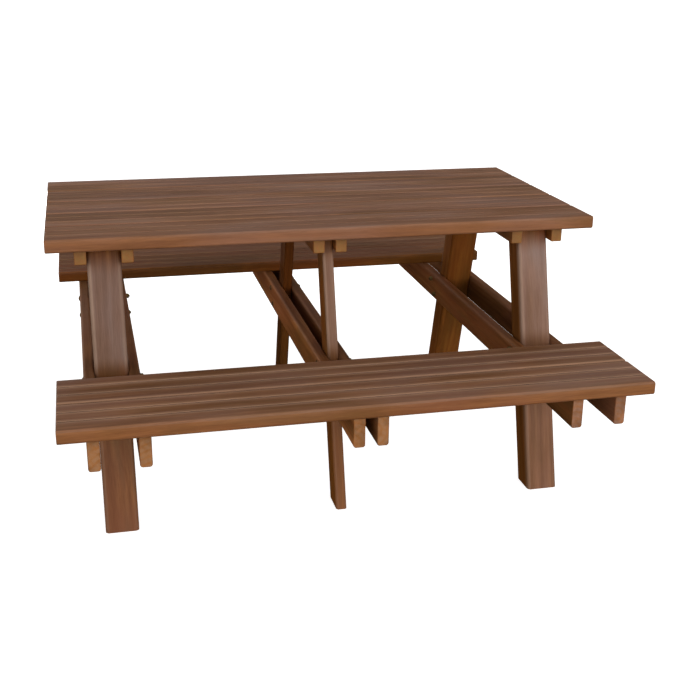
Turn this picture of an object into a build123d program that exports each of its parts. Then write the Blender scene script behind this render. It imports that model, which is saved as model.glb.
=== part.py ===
from build123d import *
import math
import os

# Layout in millimetres: X along the table, Y towards its back, Z up, origin on the floor at its centre
table_length = 1454
bench_setback = 7  # from the tabletop's end to a bench's end
top_height = 756
seat_height = 436
seat_reach = 804  # from the centre line to a bench's outer edge
end_overhang = 142  # from the tabletop's end to the middle of an end frame
foot_reach = 487  # from the centre line to a leg's outer face, on the floor
head_reach = 285  # the same, under the tabletop

# Boards of the top and the benches, each with shallow grooves along its upper face
top_board_count = 5
top_board_width = 147
bench_board_count = 2
bench_board_width = 157
board_gap = 3
board_thickness = 34
board_edge_radius = 7
groove_count = 2
groove_mouth = 6
groove_floor = 2
groove_depth = 3
end_edge_radius = 3  # on the sawn ends of boards, seat beams and cleats

# Legs, seat beams and cleats
leg_depth = 79
post_width = 86  # legs of the end frames
post_edge_radius = 10
plank_thickness = 29  # seat beams, and legs of the middle frame
plank_edge_radius = 7
beam_height = 83
beam_setback = 24  # from a bench's outer edge to the beam's end
cleat_thickness = 31
cleat_height = 45
cleat_edge_radius = 4
cleat_setback = 48  # from the tabletop's edge to the cleat's end

# Carriage bolts, each with a domed head, a square neck let into the wood, a washer and a nut
bolt_diameter = 8
bolt_clearance = 0.5
bolt_head_diameter = 18
bolt_head_height = 4.5
bolt_end = 3  # thread that stands out of the nut
neck_height = 5
neck_clearance = 0.2
nut_width = 13
nut_height = 6.5
nut_chamfer = 0.9
thread_chamfer = 1
thread_clearance = 0.1
washer_diameter = 16
washer_thickness = 1.6
bolt_offset_y = 18  # seat bolts sit on a diagonal about the joint
bolt_offset_z = 22

# Screws driven up into the boards, the same length through the cleats and the seat beams
screw_diameter = 5.5
screw_clearance = 0.3
screw_head_diameter = 11
screw_head_height = 3.5
screw_head_chamfer = 1.5
drive_width = 5  # hexagon socket in the head
drive_depth = 2
screw_bite = 24  # depth in the board
pilot_spare = 2  # pilot hole past the screw's point
counterbore_diameter = 14

# Levels and places that follow from the sizes above
top_underside = top_height - board_thickness
seat_underside = seat_height - board_thickness
beam_bottom = seat_underside - beam_height
cleat_bottom = top_underside - cleat_height
counterbore_depth = beam_height - cleat_height
splay = math.atan2(foot_reach - head_reach, top_underside)
bench_length = table_length - 2 * bench_setback
frame_spacing = table_length / 2 - end_overhang
dome_radius = (bolt_head_diameter ** 2 / 4 + bolt_head_height ** 2) / (2 * bolt_head_height)
top_pitch = top_board_width + board_gap
bench_pitch = bench_board_width + board_gap
top_reach = (top_board_count * top_pitch - board_gap) / 2
beam_reach = seat_reach - beam_setback
cleat_reach = top_reach - cleat_setback
top_rows = [(i - (top_board_count - 1) / 2) * top_pitch for i in range(top_board_count)]
bench_rows = [seat_reach - bench_board_width / 2 - i * bench_pitch for i in range(bench_board_count)]

# Each frame: name, place along X, leg width, leg edge radius, side that the bolt heads face
frames = [
    ("left", -frame_spacing, post_width, post_edge_radius, -1),
    ("middle", 0, plank_thickness, plank_edge_radius, -1),
    ("right", frame_spacing, post_width, post_edge_radius, 1),
]


def leg_axis(side, z):
    """Y of a leg's centre line at height z, for the front (-1) or the back (1)."""
    outer_face = foot_reach - z * math.tan(splay)
    return side * (outer_face - leg_depth / 2 / math.cos(splay))


def seat_bolt_places():
    """Y and Z of a frame's seat bolts: two at each leg, the upper one further out."""
    middle = seat_underside - beam_height / 2
    places = []
    for side in (-1, 1):
        centre = leg_axis(side, middle)
        places.append((centre + side * bolt_offset_y, middle + bolt_offset_z))
        places.append((centre - side * bolt_offset_y, middle - bolt_offset_z))
    return places


def cleat_bolt_places():
    """Y and Z of a frame's cleat bolts: one at each leg head."""
    middle = top_underside - cleat_height / 2
    return [(leg_axis(side, middle), middle) for side in (-1, 1)]


def pair_places(x, leg_width, thickness):
    """X of the two bars that clamp a frame's legs."""
    offset = (leg_width + thickness) / 2
    return [x - offset, x + offset]


def round_holes(places, radius, length):
    """Cutters that start at each place and run up."""
    return [Pos(*place) * Cylinder(radius, length, align=(Align.CENTER, Align.CENTER, Align.MIN))
            for place in places]


def cross_holes(x, places):
    """Cutters for bolts, along X through a whole frame."""
    reach = post_width + 2 * (plank_thickness + cleat_thickness)
    return [Pos(x, y, z) * Rot(0, 90, 0) * Cylinder(bolt_diameter / 2 + bolt_clearance, reach)
            for y, z in places]


def neck_pockets(outer_face, places):
    """Cutters for the bolts' square necks, in the bar's face at this X."""
    width = bolt_diameter + 2 * neck_clearance
    return [Pos(outer_face, y, z) * Box(2 * neck_height, width, width) for y, z in places]


def eased_bar(plane, width, height, edge_radius, length):
    """Rounded stock centred on a plane, along its normal, with the edges of both sawn ends eased."""
    bar = extrude(plane * RectangleRounded(width, height, edge_radius), length / 2, both=True)
    faces = bar.faces().sort_by(Axis(plane.origin, plane.z_dir))
    return fillet(faces[0].edges() + faces[-1].edges(), end_edge_radius)


def board(width, length, y, upper_face, carriers):
    """A board along X, with pilot holes in its underside over the bars that carry it."""
    groove = Polygon(
        (-groove_mouth / 2, board_thickness / 2),
        (-groove_floor / 2, board_thickness / 2 - groove_depth),
        (groove_floor / 2, board_thickness / 2 - groove_depth),
        (groove_mouth / 2, board_thickness / 2),
        align=None,
    )
    plane = Plane(origin=(0, y, upper_face - board_thickness / 2), x_dir=(0, 1, 0), z_dir=(1, 0, 0))
    solid = eased_bar(plane, width, board_thickness, board_edge_radius, length)
    for place in GridLocations(width / (groove_count + 1), 0, groove_count, 1):
        solid -= extrude(plane * place * groove, length / 2, both=True)
    pilots = [(x, y, upper_face - board_thickness) for x in carriers]
    return solid - round_holes(pilots, screw_diameter / 2 + thread_clearance, screw_bite + pilot_spare)


def leg(x, width, edge_radius, side):
    """A splayed leg: rounded stock along its axis, cut level at the floor and under the tabletop."""
    foot = Vector(x, leg_axis(side, 0), 0)
    head = Vector(x, leg_axis(side, top_underside), top_underside)
    stock_plane = Plane(origin=(foot + head) * 0.5, x_dir=(1, 0, 0), z_dir=head - foot)
    stock_length = (head - foot).length + 2 * leg_depth
    stock = extrude(stock_plane * RectangleRounded(width, leg_depth, edge_radius), stock_length / 2, both=True)
    standing = split(stock, Plane.XY, keep=Keep.TOP)
    solid = split(standing, Plane.XY.offset(top_underside), keep=Keep.BOTTOM)
    return solid - cross_holes(x, seat_bolt_places() + cleat_bolt_places())


def seat_beam(x, frame_x, heads):
    """A seat beam along Y, with bolt holes and counterbored screw holes under each bench board."""
    plane = Plane(origin=(x, 0, seat_underside - beam_height / 2), x_dir=(1, 0, 0), z_dir=(0, -1, 0))
    solid = eased_bar(plane, plank_thickness, beam_height, plank_edge_radius, 2 * beam_reach)
    screws = [(x, side * row, beam_bottom) for side in (-1, 1) for row in bench_rows]
    solid -= round_holes(screws, counterbore_diameter / 2, counterbore_depth)
    solid -= round_holes(screws, screw_diameter / 2 + screw_clearance, beam_height)
    if (x - frame_x) * heads > 0:
        solid -= neck_pockets(x + heads * plank_thickness / 2, seat_bolt_places())
    return solid - cross_holes(frame_x, seat_bolt_places())


def cleat(x, frame_x, heads):
    """A cleat along Y under the tabletop, with bolt holes and a screw hole under each board."""
    plane = Plane(origin=(x, 0, top_underside - cleat_height / 2), x_dir=(1, 0, 0), z_dir=(0, -1, 0))
    solid = eased_bar(plane, cleat_thickness, cleat_height, cleat_edge_radius, 2 * cleat_reach)
    screws = [(x, row, cleat_bottom) for row in top_rows]
    solid -= round_holes(screws, screw_diameter / 2 + screw_clearance, cleat_height)
    if (x - frame_x) * heads > 0:
        solid -= neck_pockets(x + heads * cleat_thickness / 2, cleat_bolt_places())
    return solid - cross_holes(frame_x, cleat_bolt_places())


def bolt(grip):
    """A bolt whose head stands on the origin, with its neck and shank along -Z."""
    ball = Pos(0, 0, bolt_head_height - dome_radius) * Sphere(dome_radius)
    head = split(ball, Plane.XY, keep=Keep.TOP)
    hanging = (Align.CENTER, Align.CENTER, Align.MAX)
    neck = Box(bolt_diameter, bolt_diameter, neck_height, align=hanging)
    shank_length = grip + washer_thickness + nut_height + bolt_end
    shank = Cylinder(bolt_diameter / 2, shank_length, align=hanging)
    shank = chamfer(shank.edges().filter_by(GeomType.CIRCLE).sort_by(Axis.Z)[0], thread_chamfer)
    return head + neck + shank


def washer():
    """A washer whose upper face is at the origin."""
    ring = Circle(washer_diameter / 2) - Circle(bolt_diameter / 2 + bolt_clearance)
    return extrude(ring, -washer_thickness)


def nut():
    """A nut whose upper face is at the origin, with its corners turned down."""
    section = RegularPolygon(nut_width / 2, 6, major_radius=False)
    blank = extrude(section - Circle(bolt_diameter / 2 + thread_clearance), -nut_height)
    turned = Cylinder(nut_width / math.sqrt(3), nut_height, align=(Align.CENTER, Align.CENTER, Align.MAX))
    return blank & chamfer(turned.edges().filter_by(GeomType.CIRCLE), nut_chamfer)


def bolted_joint(name, x, grip, heads, places):
    """Bolts, washers and nuts that clamp a pair of bars to a frame's legs."""
    bolts, washers, nuts = [], [], []
    for y, z in places:
        seat = Plane(origin=(x + heads * grip / 2, y, z), x_dir=(0, 1, 0), z_dir=(heads, 0, 0))
        bolts.append(seat * bolt(grip))
        washers.append(seat * Pos(0, 0, -grip) * washer())
        nuts.append(seat * Pos(0, 0, -grip - washer_thickness) * nut())
    save(f"{name}_bolts", bolts)
    save(f"{name}_washers", washers)
    save(f"{name}_nuts", nuts)


def screw():
    """A screw that points up, with its head under the origin."""
    head = Cylinder(screw_head_diameter / 2, screw_head_height, align=(Align.CENTER, Align.CENTER, Align.MAX))
    head = chamfer(head.edges().filter_by(GeomType.CIRCLE).sort_by(Axis.Z)[0], screw_head_chamfer)
    socket = Pos(0, 0, -screw_head_height) * RegularPolygon(drive_width / 2, 6, major_radius=False)
    head -= extrude(socket, drive_depth)
    shank_length = cleat_height + screw_bite
    return head + Cylinder(screw_diameter / 2, shank_length, align=(Align.CENTER, Align.CENTER, Align.MIN))


def save(name, solids):
    """One file for each piece, or for each group of like fasteners."""
    shape = solids[0] if len(solids) == 1 else Compound(children=solids)
    export_step(shape, f"parts/{name}.step")


def make_boards():
    cleats = [place for _, x, width, _, _ in frames for place in pair_places(x, width, cleat_thickness)]
    beams = [place for _, x, width, _, _ in frames for place in pair_places(x, width, plank_thickness)]
    for number, y in enumerate(top_rows, 1):
        save(f"top_board_{number}", [board(top_board_width, table_length, y, top_height, cleats)])
    for number, row in enumerate(bench_rows, 1):
        for place, y in (("front", -row), ("back", row)):
            bench_board = board(bench_board_width, bench_length, y, seat_height, beams)
            save(f"{place}_bench_board_{number}", [bench_board])


def make_frame(name, x, leg_width, edge_radius, heads):
    save(f"{name}_front_leg", [leg(x, leg_width, edge_radius, -1)])
    save(f"{name}_back_leg", [leg(x, leg_width, edge_radius, 1)])

    beams = pair_places(x, leg_width, plank_thickness)
    cleats = pair_places(x, leg_width, cleat_thickness)
    for number, place in enumerate(beams, 1):
        save(f"{name}_seat_beam_{number}", [seat_beam(place, x, heads)])
    for number, place in enumerate(cleats, 1):
        save(f"{name}_cleat_{number}", [cleat(place, x, heads)])

    bolted_joint(f"{name}_seat", x, leg_width + 2 * plank_thickness, heads, seat_bolt_places())
    bolted_joint(f"{name}_cleat", x, leg_width + 2 * cleat_thickness, heads, cleat_bolt_places())

    top_screws = [Pos(place, row, cleat_bottom) * screw() for place in cleats for row in top_rows]
    save(f"{name}_top_screws", top_screws)
    screw_seat = beam_bottom + counterbore_depth
    bench_screws = [Pos(place, side * row, screw_seat) * screw()
                    for place in beams for side in (-1, 1) for row in bench_rows]
    save(f"{name}_bench_screws", bench_screws)


os.makedirs("parts", exist_ok=True)
make_boards()
for frame in frames:
    make_frame(*frame)
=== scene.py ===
import math
import random

import bpy
from mathutils import Matrix, Vector


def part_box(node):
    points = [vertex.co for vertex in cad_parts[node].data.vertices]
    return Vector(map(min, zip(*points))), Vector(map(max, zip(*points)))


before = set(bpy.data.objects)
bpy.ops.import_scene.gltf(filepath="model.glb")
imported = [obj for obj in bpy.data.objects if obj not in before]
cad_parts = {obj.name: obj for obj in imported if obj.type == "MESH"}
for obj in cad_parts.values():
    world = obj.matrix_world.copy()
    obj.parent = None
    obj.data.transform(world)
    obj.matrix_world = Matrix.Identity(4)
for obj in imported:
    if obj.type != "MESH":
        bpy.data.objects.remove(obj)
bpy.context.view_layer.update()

# Camera, fitted to the photograph's edges
camera_place = (-0.6270, -3.0861, 1.4257)
camera_yaw = math.radians(13.921)  # from +Y towards +X
camera_pitch = math.radians(19.838)  # below the horizon
camera_roll = math.radians(0.749)
camera_lens = 56.67  # mm
camera_sensor = 36  # mm
camera_range = 300  # metres, past the backdrop

# Sizes that the boxes of the pieces don't give, in metres
leg_splay = math.atan2(0.202, 0.722)
leg_depth = 0.079
board_edge = 0.007  # reach of a rounded edge
post_edge = 0.010
plank_edge = 0.007
cleat_edge = 0.004
joint_reach = 0.010  # boards nearer than this share a joint
groove_share = 1 / 3  # a groove's distance from its board's middle, of half the width

# Colours of the lumber, linear
dark_wood = (0.155, 0.046, 0.0075, 1)
middle_wood = (0.250, 0.078, 0.0125, 1)
light_wood = (0.335, 0.115, 0.0225, 1)
red_wood = (0.240, 0.064, 0.0110, 1)
olive_wood = (0.140, 0.056, 0.0110, 1)
beam_end_wood = (0.254, 0.127, 0.0590, 1)  # sawn ends
grey_end_wood = (0.244, 0.127, 0.0780, 1)
# Cleats' sawn ends, yellower and darker as painted shade under the tabletop
cleat_end_shaded_wood = (0.226, 0.103, 0.0180, 1)
# Dirt with painted shade in grooves and joints
groove_dirt_shade = (0.080, 0.052, 0.0380, 1)
joint_dirt_shade = (0.030, 0.014, 0.0060, 1)
worn_sheen_wood = (0.213, 0.142, 0.1100, 1)  # outer faces, greyed by weather and by a painted sheen
# Legs' outer faces, greyed by weather and by a painted sheen
worn_sheen_leg = (0.262, 0.181, 0.1520, 1)
rubbed_highlight_wood = (0.450, 0.290, 0.2050, 1)  # rounded edges: wear and a painted highlight
rim_highlight_wood = (0.375, 0.212, 0.1320, 1)  # painted highlight on the rims of grooves and joints

# What sets the lumber of one kind of piece, or of one piece, apart: depth of its stain, which on single pieces
# is lowered as painted shade where they stand in shade and raised as painted light where they are lit; a
# factor on its sides, painted shade below 1 and painted light above 1; contrast of its figure, lighter and
# darker patches;
# weathering with a painted sheen on its outer face and on its sides; rub with a painted highlight on its
# edges; dirt with painted shade in its grooves and joints, and painted highlights on their rims; gloss; colour
# of weathering with painted sheen; colour of sawn ends; and the share of the painted sheen at the two ends of
# a leg, less where the bench and the tabletop cast painted shade
plain_look = {
    "stain_and_shade": 1.0, "side_shading": 1.0, "figure": 0.55, "mottle": 0.10, "weather_sheen": 0.3, "side_weather_sheen": 0.0,
    "rub_highlight": 0.2, "dirt_shade": 0.0, "rim_highlight": 0.0, "gloss": 0.4, "worn_sheen": worn_sheen_wood, "cut": beam_end_wood,
    "sheen_low_end": 1.0, "sheen_high_end": 1.0}
top_look = {
    "stain_and_shade": 1.19, "side_shading": 0.79, "figure": 0.95, "mottle": 0.17, "weather_sheen": 0.44, "side_weather_sheen": 0.30,
    "rub_highlight": 0.07, "dirt_shade": 0.90, "rim_highlight": 0.12, "gloss": 0.05}
bench_look = {
    "stain_and_shade": 1.07, "figure": 0.80, "mottle": 0.13, "weather_sheen": 0.40, "side_weather_sheen": 0.20, "rub_highlight": 0.07,
    "dirt_shade": 0.80, "rim_highlight": 0.74, "gloss": 0.06}
leg_look = {
    "stain_and_shade": 0.66, "figure": 0.75, "mottle": 0.06, "weather_sheen": 0.65, "rub_highlight": 0.60, "gloss": 0.08,
    "worn_sheen": worn_sheen_leg, "sheen_low_end": 0.2, "sheen_high_end": 0.0}
beam_look = {
    "stain_and_shade": 0.91, "figure": 0.85, "mottle": 0.18, "weather_sheen": 0.15, "side_weather_sheen": 0.20, "rub_highlight": 0.1,
    "gloss": 0.03}
cleat_look = {"cut": cleat_end_shaded_wood}
# Single pieces: a stain or side factor below their kind's, and less weathering or rim, are painted shade where
# the piece stands in shade; a stain or side factor above their kind's is painted light where the piece is lit
piece_looks = {
    "top_board_1": {"side_shading": 0.80, "figure": 0.55, "mottle": 0.10},
    # Higher stain: painted light on the outer bench board; lower side factor: painted shade on its front
    "front_bench_board_1": {"stain_and_shade": 1.20, "side_shading": 0.76, "weather_sheen": 0.43},
    "back_bench_board_1": {"weather_sheen": 0.18, "rim_highlight": 0.35},
    # Lower stain and side factor, less weathering and rim: painted shade under the tabletop
    "back_bench_board_2": {
        "stain_and_shade": 0.98, "side_shading": 0.58, "weather_sheen": 0.12, "side_weather_sheen": 0.0, "rim_highlight": 0.30, "gloss": 0.05},
    "left_seat_beam_1": {"stain_and_shade": 1.0, "weather_sheen": 0.30},
    # Side factor over 1: painted light on this beam's lit side
    "middle_seat_beam_1": {"stain_and_shade": 0.95, "side_shading": 1.50, "side_weather_sheen": 0.12},
    # Lower stain and side factor: painted shade under the bench
    "right_seat_beam_1": {"stain_and_shade": 0.86, "side_shading": 0.84, "side_weather_sheen": 0.10, "cut": grey_end_wood},
    "right_seat_beam_2": {"cut": grey_end_wood},
    # The left front leg's full rub is a painted highlight along its edges
    "left_front_leg": {"rub_highlight": 1.0},
    # Higher stain and a side factor over 1: painted light on this leg
    "middle_front_leg": {"stain_and_shade": 0.79, "side_shading": 1.15, "weather_sheen": 0.56},
    "right_front_leg": {"stain_and_shade": 0.84, "side_shading": 0.74, "sheen_low_end": 0.50},
    # Darker stains on the back legs are painted shade
    "left_back_leg": {"stain_and_shade": 0.52},
    "middle_back_leg": {"stain_and_shade": 0.44},
    "right_back_leg": {"stain_and_shade": 0.65},
}

# Ranges from which each piece of lumber draws its own values
seed_range = (0, 40)  # metres into the noise
pith_lean = (-0.06, 0.06)  # slope of the pith along the piece
pith_side = (-0.05, 0.05)
pith_depth = (0.02, 0.09)  # below the piece's middle
stain_range = (0.95, 1.05)
chance = random.Random(11)

# Noise in the materials: waves to the metre along the grain and across it, octaves, and roughness where it
# isn't the usual one
wander_noise = ((1.6, 5, 5), 1)
cloud_noise = ((2.2, 7, 7), 2)
patch_noise = ((1.7, 24, 24), 2)
streak_noise = ((2.4, 62, 62), 3, 0.6)
line_noise = ((5.5, 230, 230), 2)
fibre_noise = ((26, 900, 900), 1)
speck_noise = ((40, 95, 95), 3, 0.65)  # on sawn ends
blotch_noise = ((160, 160, 160), 3, 0.6)  # on metal
fine_noise = ((1500, 1500, 1500), 2)
usual_roughness = 0.55
noise_middle = 0.5

# Growth rings and grain, in metres
wander_reach = 0.03  # of the grain, from side to side
ring_width = 0.0075
ring_waver = 0.016

# Ramps of the lumber: from which value to which, and where four are given, from how much to how much
streak_tone = (0.30, 0.70)  # from dark to light wood
red_clouds = (0.48, 0.62)
olive_clouds = (0.50, 0.38, 0.0, 0.75)
olive_patches = (0.50, 0.72, 0.0, 0.60)
ring_dark = (0.35, 0.95)
ring_clouds = (0.3, 0.7, 0.34, 0.12)
pore_lines = (0.52, 0.70, 0.0, 0.38)
mottle_patches = (0.36, 0.64, -1.0, 1.0)
fibre_tone = (0.25, 0.75, 0.90, 1.09)
cut_facing = (0.80, 0.95)
cut_specks = (0.35, 0.75, 0.0, 0.5)
cut_rings = 0.35

# Ramps of weathering with painted sheen, rub with painted highlight, painted shade and light on the sides, and
# dirt with painted shade; depths and sides are in reaches of the rounded edge
weather_sheen_depth = (1.0, 0.45)
weather_sheen_joint = (1.4, 0.9)
weather_sheen_streaks = (0.3, 0.7, 0.85, 1.15)
weather_sheen_clouds = (0.3, 0.7, 0.55, 1.45)
rub_highlight_side = (-0.15, 0.35)
rub_highlight_depth = (1.9, 1.2)
rub_highlight_clouds = (0.3, 0.65, 0.65, 1.0)
rub_highlight_minus = 0.45  # what is left of it along the edge at -Y of the piece's own axes; the painted highlight is set for light falling more on the other edge
rub_highlight_joint = 0.5  # what is left of it where another board lies against the edge
# The sides' own factor paints shade on them below 1 and light above 1
side_shading_depth = (0.05, 0.6)
groove_side = (0.05, -0.05)
joint_side = (-0.1, 0.2)

# Ramps in metres: along a leg from its middle, sideways from a groove or joint, and down from the outer face
# Along a leg the painted sheen fades below the bench and under the tabletop, as painted shade of both
leg_sheen_low = (0.02, 0.075)
leg_sheen_high = (0.275, 0.350)
# Painted highlights along the rims of grooves and joints
rim_highlight_groove = (0.017, 0.002)
rim_highlight_joint = (-0.017, -0.003)
rim_highlight_depth = (0.0040, 0.0032)
# Dirt with painted shade in the grooves and, darker deeper in, in the joints
dirt_shade_start = (0.0002, 0.0010)
dirt_shade_end = (0.0036, 0.0032)
joint_dirt_shade_upper = (0.0003, 0.0020, 0.0, 0.32)
joint_dirt_shade_lower = (0.0020, 0.0055, 0.0, 0.60)

# Roughness and bump of the lumber
streak_roughness = (0.25, 0.75, 0.42, 0.32)
cut_roughness = 0.25
pore_roughness = 0.2
streak_height = 0.6
fibre_height = 0.25
pore_height = 0.5
lumber_bump = {"Strength": 0.35, "Distance": 0.0006}

# Metals: colour and lowest roughness, how dull and how much rougher their blotches are, and their bump
metal_looks = {
    # Yellow zinc darkened as painted shade, for fasteners that sit in shade
    "shaded_yellow_zinc": ((0.27, 0.19, 0.075, 1), 0.46),
    "aged_zinc": ((0.17, 0.105, 0.045, 1), 0.5),
    "screw_steel": ((0.46, 0.43, 0.38, 1), 0.38),
}
blotch_dull = (0.4, 0.7, 0.0, 0.8)
dull_share = 0.62
blotch_rough = (0.3, 0.7)
roughness_gain = 0.2
metal_bump = {"Strength": 0.2, "Distance": 0.0002}

# Stage, in metres
white = (1, 1, 1, 1)
black = (0, 0, 0, 1)
floor_colour = (0.80, 0.80, 0.79, 1)
floor_reach = 80.0
floor_roughness = 0.9
floor_glow = 0.80
wall_reach = 75.0
wall_height = 40.0
wall_steps = 64
wall_roughness = 0.5
wall_glow = 1.0

# Panels of the surround: bearing from the front towards the right and spread, in degrees, sines of the lowest
# and the highest elevation, and level
panels = [
    (0, 100, 0.05, 0.22, 3.0),
    (0, 100, 0.25, 0.45, 1.8),
    (0, 100, 0.50, 0.75, 1.5),
    (0, 100, -0.55, -0.03, 0.66),
    (45, 60, 0.0, 0.5, 2.0),
    (315, 60, 0.0, 0.5, 0.5),
    (180, 110, 0.0, 0.10, 0.6),
    (180, 110, 0.22, 0.6, 0.20),
    (180, 110, 0.60, 0.85, 1.3),
    (270, 100, 0.0, 0.35, 1.1),
    (0, 181, 0.75, 1.5, 0.10),
]
panel_blur = 0.12

# A low light behind the table, in metres
fill_place = (0, 4.0, 0.25)
fill_length = 3.0
fill_height = 0.3
fill_power = 110  # watts


class Shading:
    """Adds nodes to a node tree; each input takes a value or another node's socket."""

    def __init__(self, tree):
        self.tree = tree

    def node(self, kind, inputs=None, **settings):
        made = self.tree.nodes.new(kind)
        for key, value in settings.items():
            setattr(made, key, value)
        for key, value in (inputs or {}).items():
            if isinstance(value, bpy.types.NodeSocket):
                self.tree.links.new(value, made.inputs[key])
            else:
                made.inputs[key].default_value = value
        return made

    def maths(self, operation, first, second=0.0):
        return self.node("ShaderNodeMath", {0: first, 1: second}, operation=operation).outputs[0]

    def plus(self, first, second):
        return self.maths("ADD", first, second)

    def minus(self, first, second):
        return self.maths("SUBTRACT", first, second)

    def times(self, first, *others):
        for other in others:
            first = self.maths("MULTIPLY", first, other)
        return first

    def vector(self, operation, first, second=(0, 0, 0)):
        return self.node("ShaderNodeVectorMath", {0: first, 1: second}, operation=operation).outputs[0]

    def measure(self, operation, first, second=(0, 0, 0)):
        """Like vector, for what gives a number."""
        return self.node("ShaderNodeVectorMath", {0: first, 1: second}, operation=operation).outputs["Value"]

    def scale(self, colour, factor):
        return self.node("ShaderNodeVectorMath", {0: colour, "Scale": factor}, operation="SCALE").outputs[0]

    def split(self, vector):
        return self.node("ShaderNodeSeparateXYZ", {0: vector}).outputs

    def ramp(self, value, low, high, out_low=0.0, out_high=1.0):
        """value, smoothly mapped from low..high to out_low..out_high."""
        inputs = {0: value, 1: low, 2: high, 3: out_low, 4: out_high}
        return self.node("ShaderNodeMapRange", inputs, interpolation_type="SMOOTHSTEP").outputs[0]

    def mix(self, amount, first, second):
        """The colour first, turned into second by amount."""
        inputs = {0: amount, 6: first, 7: second}
        return self.node("ShaderNodeMix", inputs, data_type="RGBA", blend_type="MIX").outputs[2]

    def noise(self, point, waves, octaves, roughness=usual_roughness):
        """Noise over a point in metres, with so many waves to the metre along each axis."""
        inputs = {"Vector": self.vector("MULTIPLY", point, waves), "Scale": 1.0, "Detail": octaves}
        return self.node("ShaderNodeTexNoise", {**inputs, "Roughness": roughness}).outputs["Fac"]


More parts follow.
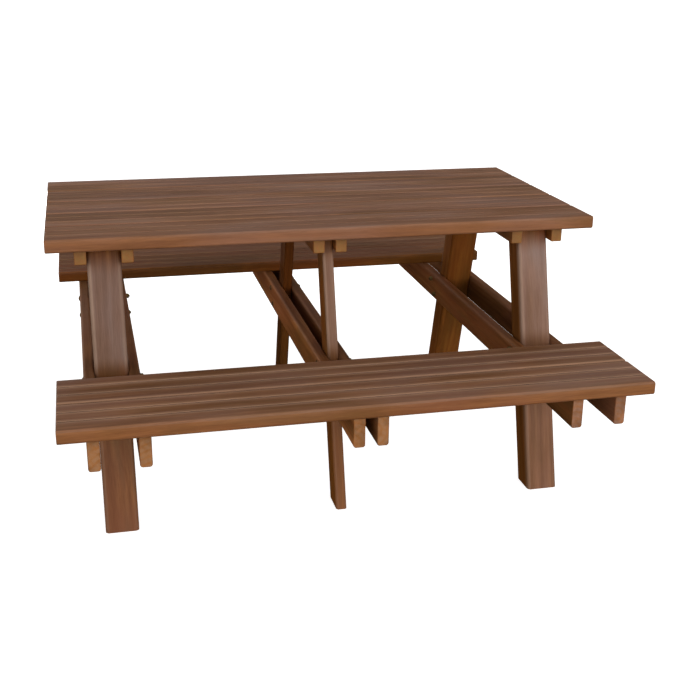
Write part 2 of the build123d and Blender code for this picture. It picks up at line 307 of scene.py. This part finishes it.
class LumberSurface(Shading):
    """Node group for sawn lumber. Its grain runs along the point's X axis, its outer face looks along Z."""

    sockets = {
        "NodeSocketVector": ("point", "facing", "half", "seed", "pith", "joints"),
        "NodeSocketColor": ("worn_sheen", "cut"),
        "NodeSocketFloat": (
            "edge", "stain_and_shade", "side_shading", "figure", "mottle", "weather_sheen", "side_weather_sheen", "rub_highlight", "dirt_shade",
            "rim_highlight", "sheen_low_end", "sheen_high_end"),
    }

    def __init__(self):
        super().__init__(bpy.data.node_groups.new("lumber_surface", "ShaderNodeTree"))
        interface = self.tree.interface
        for kind, names in self.sockets.items():
            for name in names:
                interface.new_socket(name, in_out="INPUT", socket_type=kind)
        interface.new_socket("colour", in_out="OUTPUT", socket_type="NodeSocketColor")
        interface.new_socket("roughness", in_out="OUTPUT", socket_type="NodeSocketFloat")
        interface.new_socket("normal", in_out="OUTPUT", socket_type="NodeSocketVector")
        self.given = self.tree.nodes.new("NodeGroupInput").outputs
        self.place = self.split(self.given["point"])
        self.half = self.split(self.given["half"])
        self.lay_grain()
        self.grow_rings()
        self.find_edges()
        colour = self.figure()
        for step in (self.weather_sheen, self.rub_highlight, self.rim_highlights, self.dirt_shade, self.stain_and_shade, self.saw_ends, self.vary):
            colour = step(colour)
        result = {"colour": colour, "roughness": self.roughness(), "normal": self.bump()}
        self.node("NodeGroupOutput", result)

    def lay_grain(self):
        """A grain that wanders a little from side to side, and its noise from broad clouds to fine fibres."""
        seeded = self.vector("ADD", self.given["point"], self.given["seed"])
        self.wander = self.times(self.minus(self.noise(seeded, *wander_noise), noise_middle), wander_reach)
        sideways = self.node("ShaderNodeCombineXYZ", {"Y": self.wander, "Z": self.wander}).outputs[0]
        self.grain = self.vector("ADD", seeded, sideways)
        self.clouds = self.noise(self.grain, *cloud_noise)
        self.patches = self.noise(self.grain, *patch_noise)
        self.streaks = self.noise(self.grain, *streak_noise)
        self.fibres = self.noise(self.grain, *fibre_noise)
        self.pores = self.ramp(self.noise(self.grain, *line_noise), *pore_lines)

    def grow_rings(self):
        """Growth rings about a pith that runs a little askew, so that they make arches on the faces."""
        pith = self.split(self.given["pith"])
        lean = self.times(self.place["X"], pith["X"])
        across = self.plus(self.minus(self.place["Y"], pith["Y"]), self.wander)
        below = self.plus(self.minus(self.place["Z"], pith["Z"]), lean)
        spoke = self.node("ShaderNodeCombineXYZ", {"Y": across, "Z": below}).outputs[0]
        radius = self.plus(self.measure("LENGTH", spoke), self.times(self.patches, ring_waver))
        ring = self.maths("PINGPONG", self.times(radius, 1 / ring_width), 1.0)
        self.rings = self.ramp(ring, *ring_dark)

    def find_edges(self):
        """Where a point lies: over a side's rounded edge, under the outer face, and at a joint or not."""
        self.away = self.vector("ABSOLUTE", self.given["point"])
        self.side_gap = self.split(self.vector("SUBTRACT", self.away, self.given["half"]))["Y"]
        self.side_share = self.plus(self.maths("DIVIDE", self.side_gap, self.given["edge"]), 1.0)
        self.skin = self.minus(self.half["Z"], self.place["Z"])
        self.skin_share = self.maths("DIVIDE", self.skin, self.given["edge"])
        sides = self.split(self.given["joints"])
        self.plus_half = self.maths("GREATER_THAN", self.place["Y"], 0.0)
        minus_half = self.minus(1.0, self.plus_half)
        self.joint = self.plus(self.times(minus_half, sides["X"]), self.times(self.plus_half, sides["Y"]))

    def figure(self):
        """Colour of the wood before weather and wear."""
        contrast = self.given["figure"]
        colour = self.mix(self.ramp(self.streaks, *streak_tone), dark_wood, light_wood)
        colour = self.mix(contrast, middle_wood, colour)
        colour = self.mix(self.times(self.ramp(self.clouds, *red_clouds), contrast), colour, red_wood)
        colour = self.mix(self.times(self.ramp(self.clouds, *olive_clouds), contrast), colour, olive_wood)
        colour = self.mix(self.ramp(self.patches, *olive_patches), colour, olive_wood)
        colour = self.mix(self.times(self.rings, self.ramp(self.clouds, *ring_clouds)), colour, dark_wood)
        return self.mix(self.pores, colour, dark_wood)

    def weather_sheen(self, colour):
        """Weather and a painted sheen grey the outer face and its rounded edges; less low on a leg and under
        the tabletop, as painted shade of the bench and the tabletop.
        """
        # Painted shade on a leg: less sheen below the bench, none under the tabletop
        leg_sheen_share = self.ramp(self.place["X"], *leg_sheen_low, self.given["sheen_low_end"], 1.0)
        self.leg_sheen_share = self.times(leg_sheen_share, self.ramp(self.place["X"], *leg_sheen_high, 1.0, self.given["sheen_high_end"]))
        at_joint = self.times(self.ramp(self.skin_share, *weather_sheen_joint), self.joint)
        outer = self.maths("MAXIMUM", self.ramp(self.skin_share, *weather_sheen_depth), at_joint)
        outer = self.times(outer, self.leg_sheen_share, self.given["weather_sheen"])
        cover = self.maths("MAXIMUM", outer, self.given["side_weather_sheen"])
        cover = self.times(
            cover, self.ramp(self.streaks, *weather_sheen_streaks), self.ramp(self.clouds, *weather_sheen_clouds))
        return self.mix(cover, colour, self.given["worn_sheen"])

    def rub_highlight(self, colour):
        """Rounded edges rub paler, with a painted highlight; less along one of the two and where another board
        lies against them, and less as painted shade low on a leg and under the tabletop.
        """
        rubbed_highlight = self.times(
            self.ramp(self.side_share, *rub_highlight_side), self.ramp(self.skin_share, *rub_highlight_depth),
            self.ramp(self.clouds, *rub_highlight_clouds), self.ramp(self.plus_half, 0.0, 1.0, rub_highlight_minus, 1.0),
            self.ramp(self.joint, 0.0, 1.0, 1.0, rub_highlight_joint), self.leg_sheen_share, self.given["rub_highlight"])
        return self.mix(rubbed_highlight, colour, rubbed_highlight_wood)

    def rim_highlights(self, colour):
        """Painted highlights along the rims of the grooves and the joints between boards."""
        groove_place = self.times(self.half["Y"], groove_share)
        groove_gap = self.maths("ABSOLUTE", self.minus(self.split(self.away)["Y"], groove_place))
        at_joint = self.times(self.ramp(self.side_gap, *rim_highlight_joint), self.joint)
        rim_highlight = self.maths("MAXIMUM", self.ramp(groove_gap, *rim_highlight_groove), at_joint)
        rim_highlight = self.times(rim_highlight, self.ramp(self.skin, *rim_highlight_depth), self.given["rim_highlight"])
        return self.mix(rim_highlight, colour, rim_highlight_wood)

    def dirt_shade(self, colour):
        """Dirt with painted shade in the grooves, and more in the joints between boards, darker deeper in."""
        groove = self.times(self.ramp(self.skin, *dirt_shade_start), self.ramp(self.skin, *dirt_shade_end))
        groove = self.times(groove, self.ramp(self.side_share, *groove_side), self.given["dirt_shade"])
        colour = self.mix(groove, colour, groove_dirt_shade)
        joint = self.plus(self.ramp(self.skin, *joint_dirt_shade_upper), self.ramp(self.skin, *joint_dirt_shade_lower))
        joint = self.times(joint, self.ramp(self.side_share, *joint_side), self.joint)
        return self.mix(joint, colour, joint_dirt_shade)

    # Stain, lowered per piece as painted shade and raised as painted light; the sides' own factor paints shade
    # below 1 and light above 1
    def stain_and_shade(self, colour):
        sideways = self.ramp(self.skin_share, *side_shading_depth, 1.0, self.given["side_shading"])
        return self.scale(colour, self.times(self.given["stain_and_shade"], sideways))

    def saw_ends(self, colour):
        """Sawn ends: paler, with the fibres seen end on."""
        along = self.maths("ABSOLUTE", self.split(self.given["facing"])["X"])
        self.cut = self.ramp(along, *cut_facing)
        specks = self.ramp(self.noise(self.grain, *speck_noise), *cut_specks)
        sawn = self.mix(specks, self.given["cut"], middle_wood)
        sawn = self.mix(self.times(self.rings, cut_rings), sawn, middle_wood)
        return self.mix(self.cut, colour, sawn)

    def vary(self, colour):
        """Fine fibres, and lighter and darker patches, over all of it."""
        mottle = self.times(self.ramp(self.patches, *mottle_patches), self.given["mottle"])
        tone = self.times(self.ramp(self.fibres, *fibre_tone), self.plus(mottle, 1.0))
        return self.scale(colour, tone)

    def roughness(self):
        rough = self.plus(self.ramp(self.streaks, *streak_roughness), self.times(self.cut, cut_roughness))
        return self.plus(rough, self.times(self.pores, pore_roughness))

    def bump(self):
        height = self.plus(self.times(self.streaks, streak_height), self.times(self.fibres, fibre_height))
        height = self.minus(height, self.times(self.pores, pore_height))
        return self.node("ShaderNodeBump", {**lumber_bump, "Height": height}).outputs[0]


lumber_group = LumberSurface().tree


def new_material(name):
    made = bpy.data.materials.new(name)
    made.use_nodes = True
    return made, made.node_tree.nodes["Principled BSDF"]


def wear(name, material):
    """Gives a CAD node its material."""
    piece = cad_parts[name]
    piece.data.materials.clear()
    piece.data.materials.append(material)


def lumber(name, axes, half, edge, kind_look, joints=(0, 0, 0)):
    """Lumber for one node: axes holds the directions of its grain, width and outer face as columns."""
    look = {**plain_look, **kind_look, **piece_looks.get(name, {})}
    material, shader = new_material(f"lumber_{name}")
    shading = Shading(material.node_tree)
    low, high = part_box(name)
    turn = axes.to_euler()
    space = shading.node("ShaderNodeTexCoord").outputs
    point = shading.node("ShaderNodeMapping", {
        "Vector": space["Object"], "Location": (low + high) / 2, "Rotation": turn}, vector_type="TEXTURE")
    facing = shading.node("ShaderNodeMapping", {
        "Vector": space["Normal"], "Rotation": turn}, vector_type="TEXTURE")
    seed = [chance.uniform(*seed_range) for _ in range(3)]
    pith = [chance.uniform(*pith_lean), chance.uniform(*pith_side), -chance.uniform(*pith_depth)]
    look["stain_and_shade"] *= chance.uniform(*stain_range)
    shader.inputs["Specular IOR Level"].default_value = look.pop("gloss")
    surface = shading.node("ShaderNodeGroup", {
        "point": point.outputs[0], "facing": facing.outputs[0], "half": half, "edge": edge, "seed": seed,
        "pith": pith, "joints": joints, **look}, node_tree=lumber_group)
    for output, socket in (("colour", "Base Color"), ("roughness", "Roughness"), ("normal", "Normal")):
        material.node_tree.links.new(surface.outputs[output], shader.inputs[socket])
    wear(name, material)


def box_half(name):
    low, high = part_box(name)
    return (high - low) / 2


def joint_sides(name):
    """1 for each side, in -Y and in +Y, at which another board lies against this one."""
    low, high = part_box(name)
    found = [0, 0, 0]
    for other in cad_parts:
        if "_board_" in other and other != name:
            other_low, other_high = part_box(other)
            if abs(other_high.z - high.z) < joint_reach:
                found[0] = max(found[0], int(abs(other_high.y - low.y) < joint_reach))
                found[1] = max(found[1], int(abs(other_low.y - high.y) < joint_reach))
    return found


def board_lumber(name):
    look = bench_look if "bench" in name else top_look
    lumber(name, Matrix.Identity(3), box_half(name), board_edge, look, joint_sides(name))


def bar_lumber(name, edge, look):
    half = box_half(name)
    axes = Matrix.Rotation(math.pi / 2, 3, "Z")
    lumber(name, axes, Vector((half.y, half.x, half.z)), edge, look)


def leg_lumber(name, edge):
    lean = 1 if "_front_" in name else -1
    grain = Vector((0, lean * math.sin(leg_splay), math.cos(leg_splay)))
    width = Vector((-lean, 0, 0))
    axes = Matrix((grain, width, grain.cross(width))).transposed()
    half = box_half(name)
    lumber(name, axes, Vector((half.z, half.x, leg_depth / 2)), edge, leg_look)


def metal(name, colour, roughness):
    """Metal with dull, rougher blotches and a fine grain."""
    material, shader = new_material(name)
    shading = Shading(material.node_tree)
    space = shading.node("ShaderNodeTexCoord").outputs["Object"]
    blotches = shading.noise(space, *blotch_noise)
    dull = [channel * dull_share for channel in colour[:3]] + [1]
    bump = shading.node("ShaderNodeBump", {**metal_bump, "Height": shading.noise(space, *fine_noise)})
    for socket, value in (
            ("Base Color", shading.mix(shading.ramp(blotches, *blotch_dull), colour, dull)),
            ("Roughness", shading.ramp(blotches, *blotch_rough, roughness, roughness + roughness_gain)),
            ("Normal", bump.outputs[0])):
        material.node_tree.links.new(value, shader.inputs[socket])
    shader.inputs["Metallic"].default_value = 1.0
    return material


metals = {name: metal(name, *look) for name, look in metal_looks.items()}

for name in sorted(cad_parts):
    if "_board_" in name:
        board_lumber(name)
    elif name.endswith("_leg"):
        leg_lumber(name, plank_edge if name.startswith("middle") else post_edge)
    elif "_seat_beam_" in name:
        bar_lumber(name, plank_edge, beam_look)
    elif "_cleat_" in name and name[-1].isdigit():
        bar_lumber(name, cleat_edge, cleat_look)
    elif name.endswith("_screws"):
        wear(name, metals["screw_steel"])
    elif name.endswith("_bolts"):
        wear(name, metals["aged_zinc"])
    else:
        wear(name, metals["shaded_yellow_zinc"])


def stage_piece(name, corners, faces, colour, roughness, glow):
    """A plain glowing piece of the stage that lights nothing and shows in no reflection."""
    mesh = bpy.data.meshes.new(name)
    mesh.from_pydata(corners, [], faces)
    material, shader = new_material(name)
    shader.inputs["Base Color"].default_value = colour
    shader.inputs["Roughness"].default_value = roughness
    shader.inputs["Emission Color"].default_value = white
    shader.inputs["Emission Strength"].default_value = glow
    mesh.materials.append(material)
    piece = bpy.data.objects.new(name, mesh)
    bpy.context.collection.objects.link(piece)
    piece.visible_diffuse = False
    piece.visible_glossy = False
    return piece


def stage_floor():
    reach = floor_reach
    corners = [(-reach, -reach, 0), (reach, -reach, 0), (reach, reach, 0), (-reach, reach, 0)]
    floor = stage_piece("floor", corners, [(0, 1, 2, 3)], floor_colour, floor_roughness, floor_glow)


def stage_backdrop():
    """A white wall all round, far off, that only the camera sees."""
    steps = range(wall_steps)
    turns = [2 * math.pi * step / wall_steps for step in steps]
    feet = [(wall_reach * math.cos(turn), wall_reach * math.sin(turn), 0) for turn in turns]
    heads = [(x, y, wall_height) for x, y, _ in feet]
    after = [(step + 1) % wall_steps for step in steps]
    faces = [(step, after[step], after[step] + wall_steps, step + wall_steps) for step in steps]
    wall = stage_piece("backdrop", feet + heads, faces, black, wall_roughness, wall_glow)
    wall.visible_shadow = False


def surround_light():
    """Soft studio surround: broad panels of light, each over a range of heights and to one side."""
    world = bpy.data.worlds.new("studio")
    bpy.context.scene.world = world
    world.use_nodes = True
    shading = Shading(world.node_tree)
    direction = shading.node("ShaderNodeTexCoord").outputs["Generated"]
    up = shading.split(direction)["Z"]
    strength = 0.0
    for bearing, spread, low, high, level in panels:
        ahead = (math.sin(math.radians(bearing)), -math.cos(math.radians(bearing)), 0)
        side = shading.measure("DOT_PRODUCT", direction, ahead)
        glow = shading.times(
            shading.ramp(side, math.cos(math.radians(spread)), 1.0, 0.0, level),
            shading.ramp(up, low - panel_blur, low + panel_blur),
            shading.ramp(up, high - panel_blur, high + panel_blur, 1.0, 0.0))
        strength = shading.plus(strength, glow)
    background = world.node_tree.nodes["Background"]
    world.node_tree.links.new(strength, background.inputs["Strength"])
    background.inputs["Color"].default_value = white


def back_fill():
    """A long light behind the table, lower than its seats, that shows in no reflection."""
    data = bpy.data.lights.new("back_fill", "AREA")
    data.shape = "RECTANGLE"
    data.size = fill_length
    data.size_y = fill_height
    data.energy = fill_power
    fill = bpy.data.objects.new("back_fill", data)
    fill.location = fill_place
    fill.rotation_euler = (-math.pi / 2, 0, 0)
    fill.visible_camera = False
    fill.visible_glossy = False
    bpy.context.collection.objects.link(fill)


def photo_camera():
    data = bpy.data.cameras.new("camera")
    data.lens = camera_lens
    data.sensor_width = camera_sensor
    data.clip_end = camera_range
    camera = bpy.data.objects.new("camera", data)
    bpy.context.collection.objects.link(camera)
    turn = Matrix.Rotation(-camera_yaw, 4, "Z") @ Matrix.Rotation(math.pi / 2 - camera_pitch, 4, "X")
    turn = turn @ Matrix.Rotation(camera_roll, 4, "Z")
    camera.matrix_world = Matrix.Translation(camera_place) @ turn
    bpy.context.scene.camera = camera


stage_floor()
stage_backdrop()
surround_light()
back_fill()
photo_camera()
bpy.context.scene.view_settings.view_transform = "Standard"
